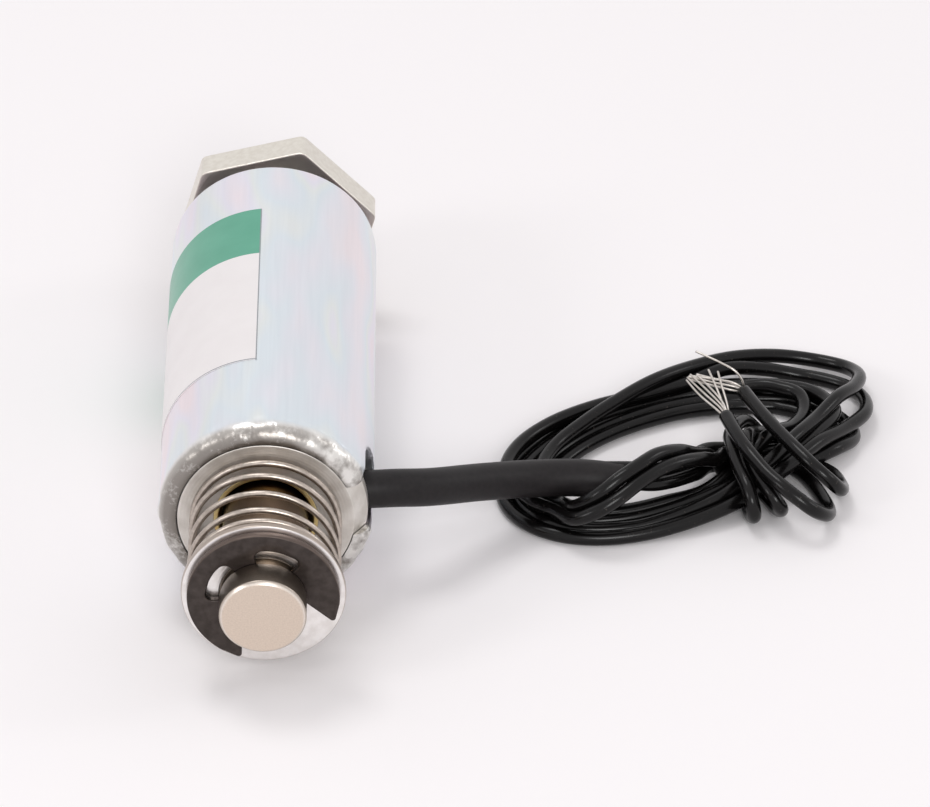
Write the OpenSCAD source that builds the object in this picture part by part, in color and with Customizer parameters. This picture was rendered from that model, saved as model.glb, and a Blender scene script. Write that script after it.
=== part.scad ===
// Tubular push-pull solenoid with a threaded rear neck and two flying leads.
//
// Millimetres. The solenoid lies on its side on Z = 0. Its axis runs along Y:
// the sprung plunger points to -Y, the threaded neck and push rod to +Y.
// Stations along the axis are measured from the front rim of the tube, positive
// towards the rear, and the whole assembly is centred on the origin in Y.

/* [Housing] */
// Outside diameter of the tube
tube_d = 20; // [19:0.1:22]
// Length of the tube from the rolled lip to the rear face
tube_len = 45.3; // [44:0.1:60]
// Wall thickness of the tube
tube_wall = 1; // [0.8:0.1:1.2]
// Wall left at the front, where the tube is bored out for the front plate
rim_wall = 0.5; // [0.4:0.1:0.6]
// Thickness of the rear wall that holds the neck
rear_wall = 1.8; // [1.2:0.1:2.4]
// Radius of the rolled front lip
lip_round = 1.6; // [1.4:0.1:1.8]
// Width of the lead slot through the lip
slot_w = 5.4; // [4:0.1:5.4]
// Length of the lead slot from the front rim
slot_len = 7.8; // [7:0.1:9]
// Angle of the lead slot above the horizontal
slot_angle = 6; // [-10:1:15]

/* [Front plate] */
// Thickness of the front plate
plate_t = 2.6; // [2.4:0.1:3]
// Diameter of the plate's front face, inside the lip
plate_face_d = 16.6; // [16:0.1:17]

/* [Coil and core] */
// Outside diameter of the brass guide tube
guide_d = 9; // [8.8:0.1:9.4]
// Station of the bobbin's front flange, behind the lead chamber
bobbin_front = 7; // [6.8:0.1:7.4]
// Thickness of the bobbin's flanges
flange_t = 1.2; // [0.8:0.1:1.6]
// Outside diameter of the copper winding
winding_d = 16.4; // [13:0.1:16.6]
// Thickness of the tape round the winding
tape_t = 0.2; // [0.1:0.05:0.3]
// Thickness of the non-magnetic shim in the conical seat
shim_t = 0.3; // [0.2:0.05:0.5]

/* [Plunger] */
// Diameter of the plunger
plunger_d = 8; // [7.8:0.05:8.05]
// How far the plunger stands out of the tube when it is released
plunger_out = 15.6; // [15:0.1:18]
// Travel of the plunger from released to seated
stroke = 6; // [3:0.1:6.5]
// Diameter of the push rod
rod_d = 3; // [2.5:0.1:3.4]
// How far the push rod stands out of the neck when the plunger is released
rod_out = 2.5; // [1.5:0.1:8]

/* [Return spring] */
// Outside diameter of the spring
spring_d = 14.2; // [13:0.1:15]
// Wire diameter of the spring
spring_wire = 0.6; // [0.5:0.05:0.7]
// Number of turns, the two closed ones included
spring_turns = 6; // [5:0.5:7]
// Diameter of the flat washer between spring and clip
washer_d = 15.1; // [14:0.1:16]
// Thickness of the flat washer
washer_t = 0.6; // [0.4:0.1:0.8]
// Outside diameter of the E-clip
clip_d = 14; // [13:0.1:15]
// Thickness of the E-clip
clip_t = 0.8; // [0.7:0.1:0.9]
// Distance from the plunger's face to the clip's front
clip_back = 3; // [2.6:0.1:3.4]

/* [Mounting neck] */
// Thread diameter of the neck
neck_d = 12; // [11:0.5:12]
// Length of the neck behind the tube
neck_len = 10.2; // [9:0.1:14]
// Thickness of the mounting nut
nut_t = 3.2; // [2.5:0.1:4]
// Width of the nut across its flats
nut_af = 17.8; // [16:0.1:17.8]
// Gap left for the panel between the tube and the nut
panel_gap = 2.7; // [1:0.1:3.5]

/* [Label] */
// Length of the wrapped film label along the tube
label_len = 25.9; // [20:0.1:26]
// Angle that the label wraps round the tube
label_wrap = 160; // [120:1:160]

/* [Leads] */
// Diameter of each insulated lead
lead_d = 1.4; // [1.2:0.1:1.6]
// Diameter of the soft sleeve over both leads
sleeve_d = 3.6; // [3.2:0.1:3.8]
// Diameter of the tinned bare end of each lead
tinned_d = 0.8; // [0.5:0.1:1]

/* [Hidden] */
$fn = 96;

tube_r = tube_d / 2;
axis_z = tube_r;
bore_r = tube_r - tube_wall;
rim_r = tube_r - rim_wall;
lip_r = tube_r - lip_round;
plate_face_r = plate_face_d / 2;
plate_shoulder = 1.7;          // station where the plate reaches its full diameter
rear_inner = tube_len - rear_wall;

run_gap = 0.06;                // running clearance of the plunger, rod and washer
plunger_r = plunger_d / 2;
guide_bore_r = plunger_r + run_gap;
guide_r = guide_d / 2;
mouth_depth = 0.8;             // length of the bell mouth of the guide tube
mouth_flare = 0.35;

clip_front = clip_back - plunger_out;
clip_rear = clip_front + clip_t;
washer_rear = clip_rear + washer_t;
groove_r = 0.875 * plunger_r;
groove_play = 0.05;

spring_rest = -washer_rear;    // length of the spring, from the plate to the washer
spring_wire_r = spring_wire / 2;
spring_mean_r = spring_d / 2 - spring_wire_r;
spring_seat = 0.01;            // keeps the wire's facets just clear of its seats
closed_turns = 1;
active_turns = spring_turns - 2 * closed_turns;
active_rise = spring_rest - 2 * spring_seat - spring_wire * (2 * closed_turns + 1);

cone_len = 4.6;                // length of the plunger's conical nose
cone_tip_r = 0.5 * plunger_r;
nose_base = 19;                // station where the cone begins, plunger released
nose_tip = nose_base + cone_len;
rod_hold = 6;                  // depth of the rod inside the plunger
rod_r = rod_d / 2;
rod_bore_r = rod_r + run_gap;
bush_r = rod_r + 0.9;
bush_len = 5;
core_front = nose_base + stroke + 0.6;
seat_floor = nose_tip + stroke + shim_t;
guide_len = seat_floor + 3;
core_flange_t = 1.8;
core_flange_front = rear_inner - core_flange_t;
insulator_t = 0.3;
bobbin_rear = core_flange_front - insulator_t;
bobbin_r = guide_r + 0.7;
flange_r = bore_r - 0.1;

neck_r = neck_d / 2;
thread_mid_r = neck_r - 0.4;   // the two threads meet here under the nut
neck_end = tube_len + neck_len;
nut_front = tube_len + panel_gap;
nut_rear = nut_front + nut_t;
nut_corner_r = nut_af / sqrt(3);
nut_turn = 13.8;               // turn of the nut on its thread
rod_end = neck_end + rod_out;
mid = (rod_end - plunger_out) / 2;

label_t = 0.08;
label_front = 11.7;
label_edge = 95.4;             // angle of the label's straight edge above +X
clip_turn = 65;                // turn of the clip's open side below +X

splice_d = 2;
splice_len = 5;
splice_ring_r = 7;

// The sleeve leaves through the slot, sinks and rests on the coiled leads.
sleeve_route = [[6.6, -16.8, 10.3], [9.5, -16.7, 10.2], [12, -16.1, 9.9], [15, -14.7, 9],
                [20, -10.9, 6.9], [25, -7.9, 5.3], [29.5, -6.8, 4.8], [34, -6.8, 4.8]];
// Short runs from the sleeve's end down into the coiled leads.
lead_run_a = [[34, -6, 5.2], [35.7, -5.6, 4.8], [37.1, -4.9, 4.1], [39.7, -3.4, 2.6]];
lead_run_b = [[34, -7.5, 4.4], [35.5, -7.2, 4.1], [36.8, -6.8, 3.6], [38.6, -6.1, 2.6]];
// The last pass comes up out of the coil and over the sleeve's end.
arch_run_a = [[28.1, -8.6, 2.4], [29, -10.4, 3.7], [31.1, -11.2, 5.6], [33.1, -10.4, 6.9],
              [35, -8.9, 7.4], [36.8, -7.1, 7.4], [38.9, -5.1, 6.4], [40.8, -3.3, 4.8],
              [42.2, -2.2, 3.4], [43.6, -1.4, 2.4]];
arch_run_b = [[27.6, -11.4, 2.4], [28.9, -12, 3.4], [31, -12.5, 4.6], [33.1, -11.8, 5.7],
              [35, -10.3, 6.4], [37.2, -8.3, 6.6], [39.1, -6.8, 6.3], [41.2, -5, 5.4],
              [42.8, -3.9, 4]];
// The free ends come over the bundle and point back to the rear and left.
tail_run_a = [[48.5, -8.4, 5.9], [47, -6.8, 6.1], [45.6, -4.8, 6.4], [44.5, -2.5, 6.5], [43.6, 0.8, 6.4]];
tail_run_b = [[51, -4.6, 5.9], [49.5, -2.4, 6], [48, 0.3, 6.2], [46.6, 3.2, 6.2], [45.5, 6, 6.1]];
tinned_run_a = [[43.6, 0.8, 6.4], [42.2, 2.9, 6.4], [39, 7, 6.4]];
tinned_run_b = [[45.5, 6, 6.1], [43.4, 6.7, 6.3], [41, 7.1, 6.5]];

coil_centre = [40.2, 3.4];
coil_tilt = 36;
coil_outer = [11, 9.3];        // end radius and half spacing of the outer outline
hole_centre = [36.6, 1.2];
coil_inner = [2.4, 7.4];
coil_h = 2.9;
wrap_centre = [49.3, -2.4];    // where the free ends are wound round the bundle
wrap_size = [11.8, 18, 5.3];

// ---- helpers ---------------------------------------------------------------

// Puts a shape drawn about Z, with its stations along Z, onto the solenoid's axis.
module along_axis() translate([0, -mid, axis_z]) rotate([-90, 0, 0]) children();

// Turns a profile of [radius, station] points about the axis.
module turned(profile) along_axis() rotate_extrude() polygon(profile);

// A plain ring between two radii and two stations.
module ring(inner, outer, from, to)
    turned([[inner, from], [outer, from], [outer, to], [inner, to]]);

// A round bar with a chamfer at the end that has the higher station.
module bar(r, from, to, chamfer)
    turned([[0, from], [r, from], [r, to - chamfer], [r - chamfer, to], [0, to]]);

// A pie slice from the centre, between two angles.
module slice(r, from, to) {
    middle = (from + to) / 2;
    polygon([[0, 0], r * [cos(from), sin(from)], r * [cos(middle), sin(middle)],
             r * [cos(to), sin(to)]]);
}

// An outline with straight sides and round ends.
module oblong(end_r, half_gap) {
    for (side = [-1, 1]) translate([side * half_gap, 0]) circle(end_r);
    square([2 * half_gap, 2 * end_r], center = true);
}

function unit(v) = v / norm(v);
function clamped(list, i) = list[max(0, min(len(list) - 1, i))];
function heading(path, i) = unit(clamped(path, i + 1) - clamped(path, i - 1));

// Ring of points round station i of a path, square to the path there.
function hoop(path, i, r, sides) =
    let (side = unit(cross(heading(path, i), [0, 0, 1])), up = cross(side, heading(path, i)))
    [for (k = [0:sides - 1]) path[i] + r * (cos(360 * k / sides) * side + sin(360 * k / sides) * up)];

// Skin over a list of equal rings, closed by its two end faces.
module skin(rings, sides) {
    last = (len(rings) - 1) * sides;
    polyhedron(
        points = [for (hoop_points = rings) each hoop_points],
        faces = [
            [for (k = [0:sides - 1]) k],
            for (i = [0:len(rings) - 2], k = [0:sides - 1])
                let (a = i * sides + k, b = i * sides + (k + 1) % sides)
                [a, a + sides, b + sides, b],
            [for (k = [sides - 1:-1:0]) last + k]
        ],
        convexity = 6);
}

// Plain tube along a route.
module tube_along(path, d, sides = 8)
    skin([for (i = [0:len(path) - 1]) hoop(path, i, d / 2, sides)], sides);

// ---- fixed parts -----------------------------------------------------------

// Deep-drawn tube with its rear wall. The thin front rim is rolled in over the
// bevel of the plate, and one slot through the lip lets the leads out.
module housing() {
    rear_chamfer = 0.4;
    slot_end_r = slot_w / 2;
    color("gainsboro") difference() {
        along_axis() rotate_extrude() difference() {
            union() {
                translate([0, lip_round]) square([tube_r, tube_len - lip_round - rear_chamfer]);
                translate([0, tube_len - rear_chamfer]) polygon([[0, 0], [tube_r, 0],
                    [tube_r - rear_chamfer, rear_chamfer], [0, rear_chamfer]]);
                intersection() {
                    translate([lip_r, lip_round]) circle(lip_round);
                    translate([lip_r, 0]) square(lip_round);
                }
                square([lip_r, lip_round]);
            }
            polygon([[0, -1], [plate_face_r, -1], [plate_face_r, 0], [rim_r, plate_shoulder],
                     [rim_r, plate_t], [bore_r, plate_t], [bore_r, rear_inner],
                     [neck_r, rear_inner], [neck_r, tube_len + 1], [0, tube_len + 1]]);
        }
        along_axis() rotate([0, 0, -slot_angle]) {
            translate([lip_r / 2, -slot_end_r, -1]) cube([tube_r, slot_w, slot_len - slot_end_r + 1]);
            translate([lip_r / 2, 0, slot_len - slot_end_r]) rotate([0, 90, 0])
                cylinder(r = slot_end_r, h = tube_r);
        }
    }
}

// Bevelled steel disc that closes the front of the magnetic circuit. It is
// countersunk for the bell mouth of the guide tube.
module front_plate() color("silver") turned([
    [guide_r + mouth_flare, 0], [plate_face_r - 0.15, 0], [plate_face_r, 0.15],
    [rim_r - 0.02, plate_shoulder], [rim_r - 0.02, plate_t], [guide_r, plate_t],
    [guide_r, mouth_depth]]);

// Thin brass tube that the plunger slides in, belled at its mouth.
module guide_tube() color("goldenrod") turned([
    [guide_bore_r + mouth_flare, 0], [guide_r + mouth_flare, 0], [guide_r, mouth_depth],
    [guide_r, guide_len], [guide_bore_r, guide_len], [guide_bore_r, mouth_depth]]);

// Nylon bobbin: its snout reaches through the lead chamber to the plate.
module bobbin() color("ivory") turned([
    [guide_r, plate_t], [bobbin_r, plate_t], [bobbin_r, bobbin_front],
    [flange_r, bobbin_front], [flange_r, bobbin_front + flange_t],
    [bobbin_r, bobbin_front + flange_t], [bobbin_r, bobbin_rear - flange_t],
    [flange_r, bobbin_rear - flange_t], [flange_r, bobbin_rear], [guide_r, bobbin_rear]]);

// Enamelled copper wire, wound in layers.
module coil_winding() color("chocolate")
    ring(bobbin_r, winding_d / 2, bobbin_front + flange_t, bobbin_rear - flange_t);

// Polyester tape over the winding.
module winding_tape() color("khaki")
    ring(winding_d / 2, winding_d / 2 + tape_t, bobbin_front + flange_t, bobbin_rear - flange_t);

// Fibre ring between the bobbin and the core's flange.
module rear_insulator() color("tan") ring(guide_r, flange_r, bobbin_rear, core_flange_front);

// Insulating sleeves over the joints between winding wire and leads, laid in
// the chamber between the plate and the bobbin.
module splice_sleeves() color("white")
    for (turn = [115, 205]) along_axis() rotate([0, 0, -turn])
        translate([splice_ring_r, 0, (plate_t + bobbin_front) / 2]) rotate([90, 0, 0])
            cylinder(d = splice_d, h = splice_len, center = true);

// Fixed core and threaded neck in one turning. The conical seat faces the
// plunger, the flange closes the magnetic circuit against the rear wall.
module pole_piece() {
    neck_chamfer = 0.5;
    bush_front = neck_end - bush_len;
    color("lightgray") turned([
        [rod_bore_r, seat_floor], [cone_tip_r + 0.1, seat_floor],
        [guide_bore_r - 0.25, core_front], [guide_bore_r, core_front],
        [guide_bore_r, guide_len], [guide_r, guide_len], [guide_r, core_flange_front],
        [bore_r, core_flange_front], [bore_r, rear_inner], [neck_r, rear_inner],
        [neck_r, nut_front], [thread_mid_r, nut_front], [thread_mid_r, nut_rear],
        [neck_r, nut_rear], [neck_r, neck_end - neck_chamfer],
        [neck_r - neck_chamfer, neck_end], [bush_r, neck_end], [bush_r, bush_front],
        [rod_bore_r, bush_front]]);
}

// Brass ring in the floor of the conical seat. It keeps the plunger from
// sticking when the current is cut.
module shim_cone() color("gold") ring(rod_bore_r, cone_tip_r, seat_floor - shim_t, seat_floor);

// Sintered bronze bush that guides the push rod.
module rod_bush() color("peru") ring(rod_bore_r, bush_r, neck_end - bush_len, neck_end);

// Thin hexagon nut with both faces chamfered, as turned from bar.
module mounting_nut() {
    bevel = 0.15;
    mouth = 0.35;
    color("wheat") along_axis() translate([0, 0, nut_front]) difference() {
        intersection() {
            rotate([0, 0, nut_turn - 90]) cylinder(r = nut_corner_r, h = nut_t, $fn = 6);
            rotate_extrude() polygon([[0, 0], [nut_af / 2 - 0.1, 0], [nut_corner_r, bevel],
                [nut_corner_r, nut_t - bevel], [nut_af / 2 - 0.1, nut_t], [0, nut_t]]);
        }
        rotate_extrude() polygon([[0, -1], [thread_mid_r + mouth, -1], [thread_mid_r + mouth, 0],
            [thread_mid_r, mouth], [thread_mid_r, nut_t - mouth], [thread_mid_r + mouth, nut_t],
            [thread_mid_r + mouth, nut_t + 1], [0, nut_t + 1]]);
    }
}

// Self-adhesive film wrapped part of the way round the tube.
module label_film() color("mediumaquamarine") along_axis()
    rotate([0, 0, -label_edge - label_wrap]) rotate_extrude(angle = label_wrap)
        translate([tube_r, label_front]) square([label_t, label_len]);

// ---- moving parts ----------------------------------------------------------

// Height of the spring's wire after t turns from the plate: closed end turns,
// open ones between them, with a smooth change of pitch.
function spring_rise(t) =
    let (open = max(0, min(active_turns, t - closed_turns)) / active_turns)
    spring_seat + spring_wire_r + spring_wire * (t - open * active_turns)
    + active_rise * (open + sin(180 * open) / 13 - sin(360 * open) / 30);

// Round wire coil between the front plate and the washer.
module return_spring() {
    steps = 22;
    sides = 8;
    color("silver") along_axis() skin([
        for (i = [0:spring_turns * steps])
            let (turn = 360 * i / steps, out = [cos(turn), sin(turn), 0])
            [for (k = [0:sides - 1])
                let (a = 360 * k / sides)
                (spring_mean_r + spring_wire_r * cos(a)) * out
                + [0, 0, spring_wire_r * sin(a) - spring_rise(i / steps)]]
    ], sides);
}

// Flat washer that carries the spring's load to the clip.
module spring_washer() color("whitesmoke")
    ring(plunger_r + run_gap, washer_d / 2, clip_rear, washer_rear);

// E-clip stamped from spring steel. Two arms and a middle prong grip the
// plunger's groove, the two windows between them let the arms flex, and every
// corner of the outline is rounded as the punch leaves it.
module e_clip() {
    clip_r = clip_d / 2;
    seat_r = groove_r + 0.02;
    window_r = 0.755 * clip_r;
    window_from = 112;         // from the middle of the open side
    window_to = 164;
    arm_inner = 62;
    arm_outer = 42;
    tip = seat_r * [cos(arm_inner), sin(arm_inner)];
    shoulder = clip_r * [cos(arm_outer), sin(arm_outer)];
    corner_r = 0.3;
    window_corner_r = 0.7;
    color("dimgray") along_axis() rotate([0, 0, clip_turn]) translate([0, 0, clip_front])
        linear_extrude(clip_t)
            offset(r = corner_r, $fn = 24) offset(delta = -corner_r)
            offset(r = -window_corner_r, $fn = 24) offset(delta = window_corner_r)
            difference() {
                circle(clip_r);
                circle(seat_r);
                for (side = [0, 1]) mirror([0, side]) {
                    intersection() {
                        circle(window_r);
                        slice(2 * clip_r, window_from, window_to);
                    }
                    polygon([[0, -1], [2 * clip_r, -1], 2 * shoulder - tip,
                             1.2 * tip - 0.2 * shoulder, [0, 1]]);
                }
            }
}

// Turned steel plunger with the clip's groove and a conical nose. The push
// rod is pressed into its rear end.
module plunger() {
    face_chamfer = 0.3;
    face = -plunger_out;
    groove_front = clip_front - groove_play;
    groove_rear = clip_rear + groove_play;
    color("rosybrown") turned([
        [0, face], [plunger_r - face_chamfer, face], [plunger_r, face + face_chamfer],
        [plunger_r, groove_front], [groove_r, groove_front], [groove_r, groove_rear],
        [plunger_r, groove_rear], [plunger_r, nose_base], [cone_tip_r, nose_tip],
        [rod_r, nose_tip], [rod_r, nose_tip - rod_hold], [0, nose_tip - rod_hold]]);
}

// Stainless push rod through the core.
module push_rod() color("lightsteelblue") bar(rod_r, nose_tip - rod_hold, rod_end, 0.3);

// ---- leads -----------------------------------------------------------------

module lead_sleeve() color("black") tube_along(sleeve_route, sleeve_d);
module lead_wire_a() color("black") tube_along(lead_run_a, lead_d);
module lead_wire_b() color("black") tube_along(lead_run_b, lead_d);
module lead_arch_a() color("black") tube_along(arch_run_a, lead_d);
module lead_arch_b() color("black") tube_along(arch_run_b, lead_d);
module lead_tail_a() color("black") tube_along(tail_run_a, lead_d);
module lead_tail_b() color("black") tube_along(tail_run_b, lead_d);
module tinned_end_a() color("silver") tube_along(tinned_run_a, tinned_d);
module tinned_end_b() color("silver") tube_along(tinned_run_b, tinned_d);

// The outer shape of the coiled leads, with the free ends wound round them.
module lead_coil() color("black") {
    linear_extrude(coil_h) difference() {
        translate(coil_centre) rotate(coil_tilt) oblong(coil_outer[0], coil_outer[1]);
        translate(hole_centre) rotate(coil_tilt) oblong(coil_inner[0], coil_inner[1]);
    }
    translate([wrap_centre[0], wrap_centre[1], 0]) linear_extrude(wrap_size[2])
        rotate(90) oblong(wrap_size[0] / 2, (wrap_size[1] - wrap_size[0]) / 2);
}

housing();
front_plate();
guide_tube();
bobbin();
coil_winding();
winding_tape();
rear_insulator();
splice_sleeves();
pole_piece();
shim_cone();
rod_bush();
mounting_nut();
label_film();
return_spring();
spring_washer();
e_clip();
plunger();
push_rod();
lead_sleeve();
lead_wire_a();
lead_wire_b();
lead_coil();
lead_arch_a();
lead_arch_b();
lead_tail_a();
lead_tail_b();
tinned_end_a();
tinned_end_b();
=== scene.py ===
"""Push pull solenoid: sprung plunger in front, nut on a threaded neck behind, two coiled leads.

Metres in the part's own frame. The axis runs along Y at the height of the tube's radius, and
stations along it are counted from the tube's front rim towards the neck.
"""

import bmesh
import bpy
import numpy as np
from mathutils import Matrix, Vector


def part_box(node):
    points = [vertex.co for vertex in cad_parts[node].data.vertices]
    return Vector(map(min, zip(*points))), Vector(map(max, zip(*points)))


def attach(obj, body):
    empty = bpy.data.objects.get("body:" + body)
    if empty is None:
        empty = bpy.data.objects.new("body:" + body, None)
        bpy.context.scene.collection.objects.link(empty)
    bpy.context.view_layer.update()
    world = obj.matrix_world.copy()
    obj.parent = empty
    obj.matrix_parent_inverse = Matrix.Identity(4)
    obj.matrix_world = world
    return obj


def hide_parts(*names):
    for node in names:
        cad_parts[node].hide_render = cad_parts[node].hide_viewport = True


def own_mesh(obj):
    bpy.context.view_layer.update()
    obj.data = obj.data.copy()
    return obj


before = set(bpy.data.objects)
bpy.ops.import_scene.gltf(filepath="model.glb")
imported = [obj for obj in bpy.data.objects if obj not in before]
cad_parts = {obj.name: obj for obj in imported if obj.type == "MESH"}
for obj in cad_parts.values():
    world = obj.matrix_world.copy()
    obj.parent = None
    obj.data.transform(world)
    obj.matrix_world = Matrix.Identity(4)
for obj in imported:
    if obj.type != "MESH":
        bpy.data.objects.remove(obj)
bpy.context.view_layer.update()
mm = 0.001

# ---- Viewpoint ----
# A long lens looks down on the front of the solenoid from a little over half a metre away,
# with the plunger towards it and the neck away from it.
eye = np.array([14.97, -525.5, 367.9]) * mm
azimuth, elevation, roll = np.radians([0.394, -34.374, 0.134])
lens_mm, film_mm, nearest = 258.1, 36, 0.05
forward = np.array([np.sin(azimuth) * np.cos(elevation), np.cos(azimuth) * np.cos(elevation),
                    np.sin(elevation)])
level = np.cross(forward, [0, 0, 1])
level /= np.linalg.norm(level)
right = level * np.cos(roll) + np.cross(level, forward) * np.sin(roll)
above = np.cross(right, forward)


def placed(name, data):
    """A new object with this data, in the scene."""
    made = bpy.data.objects.new(name, data)
    bpy.context.scene.collection.objects.link(made)
    return made


lens = bpy.data.cameras.new("long_lens")
lens.sensor_width, lens.lens, lens.clip_start = film_mm, lens_mm, nearest
camera = placed("camera", lens)
camera.matrix_world = Matrix([
    [right[k], above[k], -forward[k], eye[k]] for k in range(3)] + [[0, 0, 0, 1]])
bpy.context.scene.camera = camera
bpy.context.scene.view_settings.view_transform = "Standard"


# ---- Table and light ----
# Matt white paper in an even white room. The strongest of the soft lamps stands in front of the
# solenoid, one hangs overhead, and two weak ones stand at its sides.
def linear(code):
    """The sRGB hex colour as linear red, green, blue and alpha."""
    part = np.array([int(code[k:k + 2], 16) for k in (0, 2, 4)]) / 255
    light = np.where(part <= 0.04045, part / 12.92, ((part + 0.055) / 1.055) ** 2.4)
    return (*light.tolist(), 1.0)


def feed(shader_node, sockets):
    """Sets a node's inputs: a value goes on the socket, and an output is linked to it. A node
    stands for the first of its outputs that is in use."""
    links = shader_node.id_data.links
    for key, value in sockets.items():
        if isinstance(value, bpy.types.Node):
            value = next(output for output in value.outputs if output.enabled)
        if isinstance(value, bpy.types.NodeSocket):
            links.new(value, shader_node.inputs[key])
        else:
            shader_node.inputs[key].default_value = value
    return shader_node


def add(material, kind, sockets=None, **settings):
    """Adds one node of that kind with its settings and inputs."""
    shader_node = material.node_tree.nodes.new(kind)
    for key, value in settings.items():
        setattr(shader_node, key, value)
    return feed(shader_node, sockets or {})


def surface(material):
    """The material's one Principled shader."""
    return material.node_tree.nodes["Principled BSDF"]


def finish_named(name, sockets):
    """A new material whose one Principled shader has these inputs."""
    material = bpy.data.materials.new(name)
    material.use_nodes = True
    feed(surface(material), sockets)
    return material


paper = finish_named("matt_white_paper", {"Roughness": 0.9, "Specular IOR Level": 0.2,
                                          "Base Color": linear("F9F6F7")})
half_side = 1.2
table = bpy.data.meshes.new("table")
corners = [(x * half_side, y * half_side, 0) for x, y in ((-1, -1), (1, -1), (1, 1), (-1, 1))]
table.from_pydata(corners, [], [(0, 1, 2, 3)])
table.materials.append(paper)
table = placed("table", table)

world = bpy.data.worlds.new("white_room")
bpy.context.scene.world = world
world.use_nodes = True
# What the camera sees of the room, straight or in a polished surface, is white. The light that the
# room throws on matt surfaces is weaker.
thrown, seen_white = 0.64, 1.0
kinds = add(world, "ShaderNodeLightPath").outputs
seen = kinds["Is Camera Ray"]
for kind in ("Is Glossy Ray", "Is Transmission Ray"):
    seen = add(world, "ShaderNodeMath", {0: seen, 1: kinds[kind]}, operation="MAXIMUM")
strength = add(world, "ShaderNodeMapRange", {"Value": seen, "To Min": thrown, "To Max": seen_white})
feed(world.node_tree.nodes["Background"], {"Color": linear("F8F6F7"),
                                           "Strength": strength})


def soft_lamp(name, place, size, watts):
    """A square soft lamp at that place, turned to the middle of the tube."""
    lamp = bpy.data.lights.new(name, "AREA")
    lamp.size, lamp.energy = size, watts
    lamp = placed(name, lamp)
    lamp.location = place
    aim = Vector((0.01, 0, 0.01)) - lamp.location
    lamp.rotation_euler = aim.to_track_quat("-Z", "Y").to_euler()


soft_lamp("overhead", (-0.2, 0.2, 0.85), 0.3, 1.5)
soft_lamp("front", (0.15, -0.85, 0.6), 0.35, 3.3)
soft_lamp("left", (-0.7, -0.4, 0.5), 0.22, 0.9)
soft_lamp("right", (0.8, 0.1, 0.45), 0.2, 0.5)


# ---- Leads ----
# Two black 24 AWG leads with PVC insulation, in one soft black sleeve where they leave the
# tube. They are wound three times round, and their ends are wound round the bundle.
def eased(at, values, u):
    """Smooth curve through the values that stand at these places, read at u: cubic pieces between
    them, each one's slope taken from its neighbours."""
    slope = np.gradient(values, at, axis=0)
    k = np.clip(np.searchsorted(at, u, side="right") - 1, 0, len(at) - 2)
    w = (at[k + 1] - at[k])[:, None]
    a = (u - at[k])[:, None] / w
    return ((2 * a**3 - 3 * a**2 + 1) * values[k] + (a**3 - 2 * a**2 + a) * w * slope[k]
            + (3 * a**2 - 2 * a**3) * values[k + 1] + (a**3 - a**2) * w * slope[k + 1])


def through(points, count):
    """Smooth curve through the points, with the square root of the chord as the parameter."""
    p = np.asarray(points, float)
    at = np.r_[0, np.cumsum(np.linalg.norm(np.diff(p, axis=0), axis=1) ** 0.5)]
    return eased(at, p, np.linspace(0, at[-1], count))


def spaced(path, step):
    """The same line with its points at even distances of about that step."""
    at = np.r_[0, np.cumsum(np.linalg.norm(np.diff(path, axis=0), axis=1))]
    u = np.linspace(0, at[-1], int(at[-1] / step) + 1)
    return np.stack([np.interp(u, at, path[:, k]) for k in range(3)], 1)


def turning_sides(path):
    """The direction of the path at each point, and two unit vectors square to it. They are carried
    along without twist by two reflections from each point to the next."""
    ahead = np.gradient(path, axis=0)
    ahead /= np.linalg.norm(ahead, axis=1)[:, None]
    one = np.zeros_like(path)
    first = np.cross(ahead[0], [0.3, 0.1, 1.0])
    one[0] = first / np.linalg.norm(first)
    for k in range(len(path) - 1):
        step = path[k + 1] - path[k]
        flipped = one[k] - 2 / (step @ step) * (step @ one[k]) * step
        ahead_flipped = ahead[k] - 2 / (step @ step) * (step @ ahead[k]) * step
        turn = ahead[k + 1] - ahead_flipped
        one[k + 1] = flipped - 2 / max(turn @ turn, 1e-12) * (turn @ flipped) * turn
    return ahead, one, np.cross(ahead, one)


def tube(path, radius, around=16):
    """Round tube along the path: at each point a circle square to the path. The ends are flat
    discs with a rounded edge, made by three smaller circles a little beyond the last point."""
    end_size, end_reach = np.array([0, 0.7, 0.93]), np.array([0.1, 0.1, 0.06])
    ahead, one, other = turning_sides(path)
    rows = np.r_[[0] * 3, np.arange(len(path)), [len(path) - 1] * 3]
    size = radius * np.r_[end_size, np.ones(len(path)), end_size[::-1]]
    reach = radius * np.r_[-end_reach, np.zeros(len(path)), end_reach[::-1]]
    angle = np.linspace(0, 2 * np.pi, around, endpoint=False)[None, :, None]
    ring = np.cos(angle) * one[rows][:, None] + np.sin(angle) * other[rows][:, None]
    return (path[rows] + reach[:, None] * ahead[rows])[:, None] + size[:, None, None] * ring


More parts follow.
